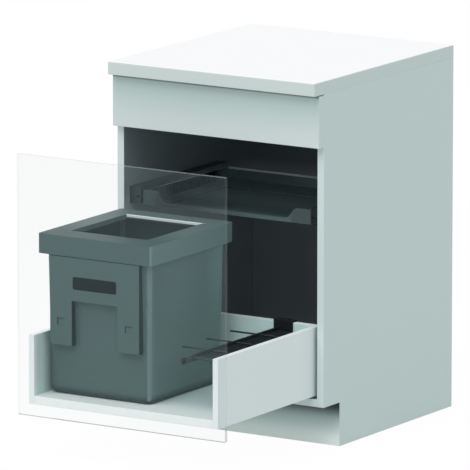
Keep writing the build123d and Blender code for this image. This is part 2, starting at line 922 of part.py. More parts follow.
def tray_ribs():
    """Upright ribs on the inner faces of the side walls."""
    ribs = []
    inner = tray_half - tray_wall
    high = tray_low + tray_rim_height - tray_wall
    count = int((tray_depth - 2 * tray_wing_width) // tray_rib_pitch)
    for index in range(1, count + 1):
        y = tray_front + tray_wing_width + index * tray_rib_pitch
        for sign in side_signs():
            ribs.append(block(sign * inner, sign * (inner - tray_rib), y - tray_rib / 2,
                              y + tray_rib / 2, tray_low + tray_floor, high))
    return ribs


def tray():
    """Shallow tray above the bins."""
    piece = tray_tub() + tray_face() + tray_rim() + tray_floor_bead()
    for rib in tray_ribs():
        piece += rib
    piece -= block(-tray_half + tray_wing_width, tray_half - tray_wing_width,
                   tray_front + tray_lip_thickness, tray_front + tray_lip_thickness + 1,
                   tray_low + tray_lip_height, tray_low + tray_wing_height)
    return piece


def right_tray_slide():
    """Tongue on the tray's side that runs in the rail."""
    return block(tray_half, tray_half + tongue_width, tray_front + tray_corner,
                 tray_rear - tray_corner, tongue_low, tongue_low + tongue_thickness)


def right_tray_rail():
    """Rail on the cabinet side, grooved for the tray's tongue."""
    y0, y1 = tray_front, tray_front + rail_length
    rail = block(rail_inner, inner_half, y0, y1, rail_low, rail_low + rail_height)
    rail = fillet(rail.faces().sort_by(Axis.X)[0].edges().filter_by(Axis.Y), 2.0)
    rail -= block(rail_inner - 1, tray_half + tongue_width + slide_gap, y0 - 1, y1 + 1,
                  tongue_low - slide_gap, tongue_low + tongue_thickness + slide_gap)
    return rail


def tray_rail_pins():
    """Bright pins at the rear of both rails."""
    top = rail_low + rail_height
    y = tray_front + rail_length - rail_pin_inset
    reach = rail_inner + 2 * rail_pin_radius
    pins = [
        rod_up(top, top + rail_pin_radius, sign * reach, y, rail_pin_radius)
        for sign in side_signs()
    ]
    return group(
        chamfer(pin.edges().group_by(Axis.Z)[-1], rail_pin_radius * 0.3) for pin in pins
    )


# ---------------------------------------------------------------- divider
def divider_rail():
    """Channel with a tall blade towards the bins and a web that carries the rods."""
    low = divider_top - blade_height
    rail = block(blade_left, blade_right, blade_front, hook_front_face, low, divider_top)
    web_right = blade_right + web_width
    rail += block(blade_right, web_right, web_front, hook_front_face,
                  web_top - web_thickness, web_top)
    rail += block(web_right - web_thickness, web_right, web_front, hook_front_face,
                  web_top - web_lip, web_top)
    for y in rod_places():
        rail -= rod_x(blade_left - 1, blade_right + 1, y, rod_z,
                      rod_diameter / 2 + fastener_play)
    return rail


def rod_places():
    """Y of each cross rod, counted from the hook."""
    return [hook_front_face - rod_first + 0.3 - index * rod_pitch for index in range(rod_count)]


def divider_rods():
    """Steel cross rods with chamfered ends."""
    end = blade_right + web_width - web_thickness - rod_tail
    rods = []
    for y in rod_places():
        rod = rod_x(rod_left, end, y, rod_z, rod_diameter / 2)
        rods.append(chamfer(rod.edges().filter_by(GeomType.CIRCLE), rod_diameter * 0.2))
    return group(rods)


def divider_hook():
    """Bracket that hangs the divider on the back of the drawer."""
    x0 = blade_left - 7.0
    x1 = x0 + hook_width
    low = drawer_top + hook_play
    high = low + hook_thickness + 0.7
    rear = drawer_rear + hook_play
    hook = block(x0, x1, hook_front_face, hook_front_face + hook_thickness,
                 drawer_top - hook_front_drop, high)
    hook += block(x0, x1, hook_front_face, rear + hook_thickness, low, high)
    hook += block(x0, x1, rear, rear + hook_thickness, drawer_top - hook_rear_drop, high)
    return hook


# ---------------------------------------------------------------- all pieces
nodes = {
    "side_panel_right": bore_side_panel(right_side_panel(), 1),
    "side_panel_left": bore_side_panel(mirrored(right_side_panel()), -1),
    "bottom_panel": bottom_panel(),
    "back_panel": back_panel(),
    "stretcher_front": front_stretcher(),
    "stretcher_rear": rear_stretcher(),
    "front_rail": front_rail(),
    "worktop": worktop(),
    "false_front": false_front(),
    "plinth_board": plinth_board(),
    "carcass_dowels": carcass_dowels(),
    "cam_discs": cam_discs(),
    "cam_bolts": cam_bolts(),
    "worktop_screws": worktop_screws(),
    "false_front_screws": false_front_screws(),
    "runner_screws": runner_screws(),
    "clear_front": clear_front(),
    "drawer_bottom": drawer_bottom(),
    "drawer_front_rail": drawer_front_rail(),
    "drawer_back": drawer_back(),
    "drawer_dowels": drawer_dowels(),
    "waste_bin": waste_bin(),
    "bag_frame": bag_frame(),
    "bag_bar": bag_bar(),
    "tray": tray(),
    "tray_rail_pins": tray_rail_pins(),
    "divider_rail": divider_rail(),
    "divider_rods": divider_rods(),
    "divider_hook": divider_hook(),
}
paired = {
    "drawer_side": right_drawer_side(),
    "runner_cabinet": right_runner_cabinet(),
    "runner_mid": right_runner_mid(),
    "runner_rollers": right_runner_rollers(),
    "runner_drawer": right_runner_drawer(),
    "runner_catch": right_runner_catch(),
    "tray_slide": right_tray_slide(),
    "tray_rail": right_tray_rail(),
}
for name, shape in paired.items():
    nodes[name + "_right"] = shape
    nodes[name + "_left"] = mirrored(shape)

for name, shape in nodes.items():
    export_step(Pos(0, -origin_y, 0) * shape, os.path.join("parts", name + ".step"))
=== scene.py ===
"""Looks of a kitchen base cabinet with its waste drawer pulled out.

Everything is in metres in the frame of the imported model. Colours are written as they
should read in the picture, in 0 to 255.
"""
import logging
import math
from dataclasses import dataclass, field
from enum import Enum
from typing import Any, Optional, Union

import bmesh
import bpy
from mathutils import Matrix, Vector


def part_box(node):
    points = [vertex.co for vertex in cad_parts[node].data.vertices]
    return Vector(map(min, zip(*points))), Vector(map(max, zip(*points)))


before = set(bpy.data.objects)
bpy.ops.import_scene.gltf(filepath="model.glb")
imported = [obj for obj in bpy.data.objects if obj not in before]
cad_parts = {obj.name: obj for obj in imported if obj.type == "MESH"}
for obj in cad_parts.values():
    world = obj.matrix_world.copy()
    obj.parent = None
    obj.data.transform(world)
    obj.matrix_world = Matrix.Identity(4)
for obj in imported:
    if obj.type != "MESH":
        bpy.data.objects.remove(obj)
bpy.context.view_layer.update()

log = logging.getLogger("scene")
logging.basicConfig(level=logging.INFO, format="%(message)s")

Rgb = tuple[float, float, float]
Rgba = tuple[float, float, float, float]
Point = tuple[float, float, float]
Span = tuple[float, float]
Pocket = tuple[float, float, float, float]
Value = Union["Term", float]

WHITE: Rgba = (1.0, 1.0, 1.0, 1.0)
# Sockets of the Mix node when it blends colours.
MIX_SHARE, MIX_FIRST, MIX_SECOND, MIX_RESULT = 0, 6, 7, 2

# Mean of a noise, about which a finish varies.
NOISE_MEAN = 0.5
# Share of the fine noise in a mottled colour, and how much closer its clouds lie.
FINE_SHARE = 0.4
FINE_SCALE = 9.0
# How far a face's direction points along an axis: a soft change to that face runs
# between the first two values, and a sharp one lies at the third.
TURNED: Span = (0.6, 0.9)
HALF_TURNED = 0.5
# Product of a face's two level directions, at most 0.5 on an upright corner, between
# which the corner takes a painted highlight: at the right front and at the right rear.
NEAR_CORNER: Span = (0.38, 0.49)
FAR_CORNER: Span = (0.1, 0.45)
# Places across, both beyond the cabinet's right, for a change that holds everywhere.
EVERYWHERE: Span = (1.0, 0.9)


def shift(place: float, span: Span) -> Span:
    """Both ends of a span that is counted from a place."""
    return place + span[0], place + span[1]


# ---------------------------------------------------------------- shader graphs
def linear(colour: Rgb) -> Rgba:
    """Turn a picture colour of 0 to 255 into the linear colour that shaders use.

    Args:
        colour: red, green and blue as read from a picture.

    Returns:
        Linear red, green and blue with an alpha of 1.
    """
    parts = [value / 255 for value in colour]
    flat = [v / 12.92 if v <= 0.04045 else ((v + 0.055) / 1.055) ** 2.4 for v in parts]
    return (flat[0], flat[1], flat[2], 1.0)


class Term:
    """A socket that takes part in arithmetic: each operator adds its Math node."""

    def __init__(self, graph: "Graph", socket: bpy.types.NodeSocket) -> None:
        """Keep the graph, to which new nodes go, and the socket itself."""
        self.graph = graph
        self.socket = socket

    def _join(self, operation: str, first: Value, second: Value) -> "Term":
        """Add one Math node.

        Args:
            operation: the node's operation.
            first: value or term of the first socket.
            second: value or term of the second socket.

        Returns:
            The node's result.
        """
        node = self.graph.node("ShaderNodeMath", {"operation": operation},
                               {0: first, 1: second})
        return Term(self.graph, node.outputs[0])

    def __add__(self, other: Value) -> "Term":
        """Sum."""
        return self._join("ADD", self, other)

    __radd__ = __add__

    def __sub__(self, other: Value) -> "Term":
        """Difference."""
        return self._join("SUBTRACT", self, other)

    def __rsub__(self, other: Value) -> "Term":
        """Difference with the term on the right."""
        return self._join("SUBTRACT", other, self)

    def __mul__(self, other: Value) -> "Term":
        """Product."""
        return self._join("MULTIPLY", self, other)

    __rmul__ = __mul__

    def __abs__(self) -> "Term":
        """Absolute value."""
        return self._join("ABSOLUTE", self, 0.0)

    def above(self, other: Value) -> "Term":
        """One where the term is greater than the other value, else zero."""
        return self._join("GREATER_THAN", self, other)

    def below(self, other: Value) -> "Term":
        """One where the term is less than the other value, else zero."""
        return self._join("LESS_THAN", self, other)

    def least(self, other: Value) -> "Term":
        """The smaller of the term and the other value."""
        return self._join("MINIMUM", self, other)

    def ease(self, low: float, high: float) -> "Term":
        """Rise smoothly from 0 to 1 between two values of the term.

        Args:
            low: value of the term where the result is 0.
            high: value of the term where the result is 1; it may be the smaller one.

        Returns:
            The eased share.
        """
        node = self.graph.node(
            "ShaderNodeMapRange", {"interpolation_type": "SMOOTHSTEP", "clamp": True},
            {"Value": self, "From Min": min(low, high), "From Max": max(low, high)})
        share = Term(self.graph, node.outputs["Result"])
        return share if low < high else 1.0 - share


class Graph:
    """The node tree of one material."""

    def __init__(self, tree: bpy.types.NodeTree) -> None:
        """Empty the tree and keep it."""
        self.tree = tree
        tree.nodes.clear()

    def node(self, kind: str, settings: Optional[dict[str, Any]] = None,
             inputs: Optional[dict[Union[int, str], Any]] = None) -> bpy.types.Node:
        """Add one node.

        Args:
            kind: the node's type name.
            settings: attributes that are set before the sockets are filled.
            inputs: values, terms or sockets by input name or index.

        Returns:
            The new node.
        """
        node = self.tree.nodes.new(kind)
        for key, value in (settings or {}).items():
            setattr(node, key, value)
        for key, value in (inputs or {}).items():
            if isinstance(value, Term):
                value = value.socket
            if isinstance(value, bpy.types.NodeSocket):
                self.tree.links.new(value, node.inputs[key])
            else:
                node.inputs[key].default_value = value
        return node

    def mix(self, share: Value, first: Any, second: Any) -> bpy.types.NodeSocket:
        """Blend two colours.

        Args:
            share: how much of the second colour shows, 0 to 1.
            first: picture colour or colour socket where share is 0.
            second: picture colour or colour socket where share is 1.

        Returns:
            The blended colour.
        """
        ends = [linear(c) if isinstance(c, tuple) else c for c in (first, second)]
        node = self.node("ShaderNodeMix", {"data_type": "RGBA"},
                         {MIX_SHARE: share, MIX_FIRST: ends[0], MIX_SECOND: ends[1]})
        return node.outputs[MIX_RESULT]

    def tinted(self, colour: bpy.types.NodeSocket, light: Value) -> bpy.types.NodeSocket:
        """Multiply a colour by one grey level.

        Args:
            colour: the colour to change.
            light: the factor, 1 to keep the colour.

        Returns:
            The changed colour.
        """
        node = self.node("ShaderNodeVectorMath", {"operation": "SCALE"},
                         {0: colour, "Scale": light})
        return node.outputs[0]

    def at_rest(self, output: str) -> bpy.types.NodeSocket:
        """One of the coordinates that the piece carries with it."""
        return self.node("ShaderNodeTexCoord").outputs[output]

    def split(self, vector: bpy.types.NodeSocket) -> tuple[Term, Term, Term]:
        """X, Y and Z of a vector."""
        x, y, z = self.node("ShaderNodeSeparateXYZ", None, {0: vector}).outputs
        return Term(self, x), Term(self, y), Term(self, z)

    def place(self) -> tuple[Term, Term, Term]:
        """X, Y and Z of the shaded point on the piece at rest."""
        return self.split(self.at_rest("Object"))

    def facing(self) -> tuple[Term, Term, Term]:
        """X, Y and Z of the surface's direction on the piece at rest."""
        return self.split(self.at_rest("Normal"))

    def faces(self) -> dict["Face", Term]:
        """Share by which the shaded point looks each way."""
        across, toward, upward = self.facing()
        return {Face.FRONT: (toward * -1.0).ease(*TURNED), Face.RIGHT: across.ease(*TURNED),
                Face.TOP: upward.ease(*TURNED)}

    def noise(self, scale: float, detail: float = 2.0,
              stretch: Point = (1.0, 1.0, 1.0)) -> Term:
        """Cloudy noise fixed to the piece.

        Args:
            scale: cycles in a metre.
            detail: finer layers.
            stretch: how much closer the cycles lie along each axis.

        Returns:
            A value of about 0.5 that varies between 0 and 1.
        """
        laid = self.node("ShaderNodeMapping", None,
                         {"Vector": self.at_rest("Object"), "Scale": stretch})
        node = self.node("ShaderNodeTexNoise", {"noise_dimensions": "3D"},
                         {"Vector": laid.outputs[0], "Scale": scale, "Detail": detail})
        return Term(self, node.outputs["Fac"])

    def cells(self, scale: float) -> Term:
        """Distance to the nearest of scattered points, for a pebbled skin."""
        node = self.node("ShaderNodeTexVoronoi", None,
                         {"Vector": self.at_rest("Object"), "Scale": scale})
        return Term(self, node.outputs["Distance"])

    def relief(self, height: Value, strength: float, depth: float,
               edge: float = 0.0) -> bpy.types.NodeSocket:
        """Small relief on rounded edges.

        Args:
            height: relief from 0 to 1.
            strength: how strongly it shows.
            depth: height of the relief in metres.
            edge: radius in metres by which sharp edges read as rounded, 0 for none.

        Returns:
            The normal for the shader.
        """
        inputs = {"Height": height, "Strength": strength, "Distance": depth}
        if edge:
            rounded = self.node("ShaderNodeBevel", {"samples": 4}, {"Radius": edge})
            inputs["Normal"] = rounded.outputs[0]
        return self.node("ShaderNodeBump", None, inputs).outputs[0]

    def surface(self, **sockets: Any) -> bpy.types.Node:
        """Principled surface wired to the output; names use _ for a space."""
        named = {key.replace("_", " "): value for key, value in sockets.items()}
        shader = self.node("ShaderNodeBsdfPrincipled", None, named)
        self.node("ShaderNodeOutputMaterial", None, {"Surface": shader.outputs[0]})
        return shader


# ---------------------------------------------------------------- finishes
class InsideDark(Enum):
    """Whether the faces inside the carcass are dark."""

    NONE = "none"
    DARK = "dark"


class Axis(Enum):
    """Direction along which a colour changes, as the index of its coordinate."""

    ACROSS = 0
    BACK = 1
    UP = 2


class Face(Enum):
    """Faces that take painted light and shade."""

    ANY = "any"
    FRONT = "front"
    RIGHT = "right"
    TOP = "top"


@dataclass(frozen=True)
class Band:
    """A soft change of painted light and shade along one axis.

    Attributes:
        start: place in metres where the change begins.
        end: place in metres where the new colour is reached, on either side of start.
        colour: the new colour.
        along: the axis.
        on: the faces that change.
        behind: Y behind which they change, in metres, or None for everywhere.
    """

    start: float
    end: float
    colour: Rgb
    along: Axis = Axis.UP
    on: Face = Face.ANY
    behind: Optional[float] = None


@dataclass(frozen=True)
class Finish:
    """A finish with its plain colour.

    Attributes:
        name: the material's name.
        colour: the colour that it shows in plain light.
        roughness: the mean roughness.
        gloss: level of the mirror-like part, 0.5 for plain plastic.
    """

    name: str
    colour: Rgb
    roughness: float = 0.5
    gloss: float = 0.25

    def graph(self) -> tuple[bpy.types.Material, Graph]:
        """A new material with an empty graph."""
        material = bpy.data.materials.new(self.name)
        material.use_nodes = True
        return material, Graph(material.node_tree)

    def material(self) -> bpy.types.Material:
        """Build the finish; each kind of finish has its own way."""
        raise NotImplementedError

    def roughened(self, wave: Term, amount: float) -> Term:
        """Roughness that follows a noise up and down by an amount."""
        return self.roughness + (wave - NOISE_MEAN) * amount

    def mottled(self, graph: Graph, colour: Any, amount: float, scale: float) -> Any:
        """A colour with soft, large and small variation.

        Args:
            graph: the material's graph.
            colour: picture colour or colour socket.
            amount: the variation's size, as a share.
            scale: cycles in a metre.

        Returns:
            The varied colour.
        """
        socket = graph.mix(0.0, colour, colour)
        wave = graph.noise(scale) + FINE_SHARE * graph.noise(scale * FINE_SCALE, detail=4.0)
        mean = NOISE_MEAN * (1.0 + FINE_SHARE)
        return graph.tinted(socket, 1.0 + (wave - mean) * amount)

    def banded(self, graph: Graph, colour: Any, bands: tuple[Band, ...]) -> Any:
        """A colour with painted light and shade that change softly along the axes.

        Args:
            graph: the material's graph.
            colour: colour socket to start from.
            bands: the changes, in order.

        Returns:
            The changed colour.
        """
        place = graph.place()
        faces = graph.faces()
        for band in bands:
            share = place[band.along.value].ease(band.start, band.end)
            if band.on is not Face.ANY:
                share = share * faces[band.on]
            if band.behind is not None:
                share = share * place[Axis.BACK.value].above(band.behind)
            colour = graph.mix(share, colour, band.colour)
        return colour


@dataclass(frozen=True)
class BoardFinish(Finish):
    """Melamine-faced board with painted light and shade: each way its faces look has its own
    colour.

    Attributes:
        roughness: the mean roughness of a matt board.
        front: colour of the faces that look to the front, painted for the light they get, or
            None for the plain one.
        top: colour of the faces that look up, painted for the light they get, or None for the
            plain one.
        right: colour of the faces that look to the right, painted for the light they get, or
            None for the plain one.
        bands: painted light and shade along the axes, in order.
        inside_dark: whether the inner faces are dark.
        inside_colour: colour of the inner faces in the upper room.
        inside_lit_low: colour of the inner faces in the lower room, paler by painted light.
        inside_turn: height where the change begins and height where it ends, in metres.
        inside_lit_left: how much brighter, by painted light, the inner faces that look to the
            right are.
        inside_lit_left_low: the same in the lower room.
        inside_from: lower corner of the dark room, in metres.
        inside_to: upper corner of the dark room, in metres.
        slack: how far past that room a face still counts as inside, in metres.
    """

    roughness: float = 0.45
    front: Optional[Rgb] = None
    top: Optional[Rgb] = None
    right: Optional[Rgb] = None
    bands: tuple[Band, ...] = ()
    inside_dark: InsideDark = InsideDark.NONE
    inside_colour: Rgb = (106, 118, 122)
    inside_lit_low: Rgb = (168, 180, 184)
    inside_turn: Span = (0.6, 0.5)
    inside_lit_left: float = 1.75
    inside_lit_left_low: float = 1.2
    inside_from: Point = (0.0, 0.0, 0.0)
    inside_to: Point = (0.0, 0.0, 0.0)
    slack: float = 0.0005

    def darkened_inside(self, graph: Graph) -> Term:
        """Share of the dark inside at the shaded point."""
        x, y, z = (where.above(low - self.slack) * where.below(high + self.slack)
                   for where, low, high in zip(graph.place(), self.inside_from, self.inside_to))
        return x * y * z

    def dark(self, graph: Graph) -> bpy.types.NodeSocket:
        """Colour of the dark inside, with painted light: paler lower down and at the left."""
        _, _, height = graph.place()
        across, _, _ = graph.facing()
        lower = height.ease(*self.inside_turn)
        colour = graph.mix(lower, self.inside_colour, self.inside_lit_low)
        colour = self.mottled(graph, colour, amount=0.12, scale=5.0)
        extra = (self.inside_lit_left - 1.0) + lower * (self.inside_lit_left_low - self.inside_lit_left)
        return graph.tinted(colour, 1.0 + across.above(HALF_TURNED) * extra)

    def material(self) -> bpy.types.Material:
        """Build the board's finish."""
        material, graph = self.graph()
        colour = self.mottled(graph, self.colour, amount=0.03, scale=3.0)
        faces = graph.faces()
        # Painted light: faces that look to the front, up or to the right take their own
        # colour.
        for face, shade in ((Face.FRONT, self.front), (Face.TOP, self.top),
                            (Face.RIGHT, self.right)):
            if shade:
                colour = graph.mix(faces[face], colour, shade)
        # Painted light and shade along the axes.
        colour = self.banded(graph, colour, self.bands)
        # The faces inside the carcass are dark, with painted light on them lower down and at
        # the left.
        if self.inside_dark is InsideDark.DARK:
            colour = graph.mix(self.darkened_inside(graph), colour, self.dark(graph))
        pearl = graph.noise(scale=1400.0)
        graph.surface(
            Base_Color=colour, Specular_IOR_Level=self.gloss,
            Roughness=self.roughened(graph.noise(scale=40.0), 0.1),
            Normal=graph.relief(pearl, strength=0.08, depth=0.00012, edge=0.0012))
        return material


@dataclass(frozen=True)
class MouldedFinish(Finish):
    """Moulded plastic with a fine pebbled skin, and painted light and shade by face and place.

    Attributes:
        painted_corner_light: colour of the painted highlight on the rounded upright corners at
            the right front.
        painted_corner_share: how much of that painted highlight shows there.
        far: colour of the painted highlight on the rounded upright corners at the right rear,
            or None.
        lit: colour of the faces that look up, painted for the light they get, or None for the
            plain one.
        lit_above: height in metres above which such faces take that colour.
        lit_rear: painted light on such faces further back, or None for the same.
        lit_turn: Y where that change begins and Y where it ends, in metres.
        flank: colour of the faces that look to the right, painted for the light they get, or
            None for the plain one.
        shade: painted shade on the faces that look to the right inside a step.
        step_front: Y before which such a face counts as a step, in metres.
        step_turned: share of a step face's direction that points to the right, at least.
        bands: painted light and shade along the axes, in order.
        pebble: cells in a metre of the skin.
        skin: how strongly the skin shows.
    """

    painted_corner_light: Rgb = (112, 132, 130)
    painted_corner_share: float = 0.35
    far: Optional[Rgb] = None
    lit: Optional[Rgb] = None
    lit_above: float = -1.0
    lit_rear: Optional[Rgb] = None
    lit_turn: Span = (0.0, 1.0)
    flank: Optional[Rgb] = None
    shade: Rgb = (38, 58, 58)
    step_front: float = -1.0
    step_turned: float = 0.8
    bands: tuple[Band, ...] = ()
    pebble: float = 1500.0
    skin: float = 0.02

    def shades(self, graph: Graph) -> Any:
        """Colour of the plastic, with its painted light and shade from face to face.

        Args:
            graph: the material's graph.

        Returns:
            The colour socket.
        """
        colour = self.mottled(graph, self.colour, amount=0.05, scale=7.0)
        across, toward, _ = graph.facing()
        _, y, height = graph.place()
        faces = graph.faces()
        # Painted light: faces that look to the right take the flank colour.
        if self.flank:
            colour = graph.mix(faces[Face.RIGHT], colour, self.flank)
        # Painted light and shade along the axes.
        colour = self.banded(graph, colour, self.bands)
        # Painted light on the faces that look up.
        if self.lit:
            lit = graph.mix(y.ease(*self.lit_turn), self.lit, self.lit_rear or self.lit)
            share = faces[Face.TOP] * height.above(self.lit_above)
            colour = graph.mix(share, colour, lit)
        # Painted highlights on the rounded upright corners.
        corner = (across * toward * -1.0).ease(*NEAR_CORNER)
        colour = graph.mix(corner * self.painted_corner_share, colour, self.painted_corner_light)
        if self.far:
            rear = (across * toward).ease(*FAR_CORNER) * across.above(0.0)
            colour = graph.mix(rear, colour, self.far)
        # Painted shade on the step faces.
        step = across.above(self.step_turned) * y.below(self.step_front)
        return graph.mix(step, colour, self.shade)

    def material(self) -> bpy.types.Material:
        """Build the plastic."""
        material, graph = self.graph()
        graph.surface(
            Base_Color=self.shades(graph), Specular_IOR_Level=self.gloss,
            Roughness=self.roughened(graph.noise(scale=60.0), 0.14),
            Normal=graph.relief(graph.cells(self.pebble), self.skin, depth=0.0001, edge=0.001))
        return material


@dataclass(frozen=True)
class BinFinish(MouldedFinish):
    """Bin plastic with a painted shade line at two sides of each grip pocket.

    Attributes:
        pockets: left, right, bottom and top of each pocket, in metres.
        pocket_line: width of the shaded line, in metres.
        pocket_shade: colour of the line.
    """

    pockets: tuple[Pocket, ...] = ()
    pocket_line: float = 0.004
    pocket_shade: Rgb = (48, 66, 66)

    def shades(self, graph: Graph) -> Any:
        """Colour of the plastic, with the pockets' painted shade lines.

        Args:
            graph: the material's graph.

        Returns:
            The colour socket.
        """
        colour = super().shades(graph)
        x, y, height = graph.place()
        front = graph.faces()[Face.FRONT] * y.below(self.step_front)
        # Painted shade lines at the left and top of each pocket.
        for left, right, bottom, top in self.pockets:
            inside = (x.above(left) * x.below(right) * height.above(bottom)
                      * height.below(top))
            plain = x.above(left + self.pocket_line) * height.below(top - self.pocket_line)
            colour = graph.mix(front * inside * (1.0 - plain), colour, self.pocket_shade)
        return colour


@dataclass(frozen=True)
class MetalFinish(Finish):
    """Drawn or plated metal with fine lines along its length.

    Attributes:
        metallic: share of metal in the surface.
        lines: how much closer the lines lie across each axis.
        line_light: how much the colour varies with the lines.
        line_rough: how much the roughness varies with them.
    """

    metallic: float = 1.0
    lines: Point = (60.0, 1.0, 60.0)
    line_light: float = 0.25
    line_rough: float = 0.2

    def material(self) -> bpy.types.Material:
        """Build the metal."""
        material, graph = self.graph()
        drawn = graph.noise(scale=20.0, detail=3.0, stretch=self.lines)
        colour = graph.tinted(graph.mix(0.0, self.colour, self.colour),
                              1.0 + (drawn - NOISE_MEAN) * self.line_light)
        graph.surface(Base_Color=colour, Metallic=self.metallic,
                      Roughness=self.roughened(drawn, self.line_rough),
                      Normal=graph.relief(drawn, strength=0.15, depth=0.0001, edge=0.0004))
        return material


@dataclass(frozen=True)
class ClearFinish(Finish):
    """Clear sheet whose cut edges gather a little light.

    Attributes:
        veil: share of the surface's own colour at the bottom of the broad faces.
        veil_top: the same at the top.
        low: height of the sheet's bottom in metres.
        high: height of the sheet's top in metres.
        edge: colour of the cut edges.
        edge_share: share of the upright edges' colour.
        foot: colour of the bottom edge and of the foot of the right edge.
        foot_share: share of that colour.
        foot_height: how far up the right edge that colour reaches, in metres.
        foot_slack: height over the bottom that still counts as the bottom edge.
        top_share: share of the top edge's colour.
        calm: how much clearer the sheet is in its upper right part.
        calm_left: X between which that part begins, in metres.
        calm_low: heights between which it begins, in metres.
        calm_rise: how steeply its upper border rises to the right.
        calm_crown: heights of that border at the middle of the sheet, where it is in
            full last, in metres.
        smear: how much rougher the sheet gets in its smears.
    """

    veil: float = 0.034
    veil_top: float = 0.05
    low: float = 0.1
    high: float = 0.8
    edge: Rgb = (176, 192, 192)
    edge_share: float = 0.09
    foot: Rgb = (62, 68, 68)
    foot_share: float = 0.36
    foot_height: float = 0.032
    foot_slack: float = 0.001
    top_share: float = 0.3
    calm: float = 0.02
    calm_left: Span = (0.12, 0.15)
    calm_low: Span = (0.672, 0.682)
    calm_rise: float = 0.3
    calm_crown: Span = (0.684, 0.68)
    smear: float = 0.02

    def clearer(self, graph: Graph) -> Term:
        """Share of the clearer part at the shaded point."""
        across, _, height = graph.place()
        risen = height - across * self.calm_rise
        return (across.ease(*self.calm_left) * height.ease(*self.calm_low)
                * risen.ease(*self.calm_crown))

    def material(self) -> bpy.types.Material:
        """Build the clear sheet."""
        material, graph = self.graph()
        _, toward, upward = graph.facing()
        across, _, height = graph.place()
        rim = abs(toward).below(TURNED[1])
        crown = upward.above(HALF_TURNED)
        foot = height.below(across.above(0.0) * self.foot_height
                            + (self.low + self.foot_slack))
        colour = graph.mix(rim, self.colour, graph.mix(foot, self.edge, self.foot))
        rise = height.ease(self.low, self.high)
        broad = (self.veil + rise * (self.veil_top - self.veil)
                 - self.clearer(graph) * self.calm)
        cut = (self.edge_share + crown * (self.top_share - self.edge_share)
               + foot * (self.foot_share - self.edge_share))
        graph.surface(Base_Color=colour, Alpha=broad + rim * (cut - broad),
                      Roughness=self.roughness + graph.noise(scale=8.0) * self.smear)
        return material


@dataclass(frozen=True)
class BeechFinish(Finish):
    """Beech with its fine flecks along the grain.

    Attributes:
        fleck: colour of the flecks.
        fleck_rough: how much rougher the flecks are.
        lines: how much closer the flecks lie along each axis.
    """

    fleck: Rgb = (150, 112, 74)
    fleck_rough: float = 0.1
    lines: Point = (0.1, 1.0, 1.0)

    def material(self) -> bpy.types.Material:
        """Build the wood."""
        material, graph = self.graph()
        grain = graph.noise(scale=120.0, detail=4.0, stretch=self.lines)
        graph.surface(Base_Color=graph.mix(grain, self.colour, self.fleck),
                      Roughness=self.roughness + grain * self.fleck_rough,
                      Normal=graph.relief(grain, strength=0.3, depth=0.0002))
        return material


# ---------------------------------------------------------------- dressing
def dress(names: list[str], finish: Finish) -> None:
    """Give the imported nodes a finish.

    Args:
        names: the nodes.
        finish: what they get.
    """
    material = finish.material()
    for name in names:
        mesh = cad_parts[name].data
        mesh.materials.clear()
        mesh.materials.append(material)
        log.info("dressed %s with %s", name, finish.name)


# BOARD_SIDE is painted shade: the board's colour on the faces that look to the right.
BOARD: Rgb = (209, 226, 224)
BOARD_SIDE: Rgb = (205, 224, 222)
SIDES = ("left", "right")


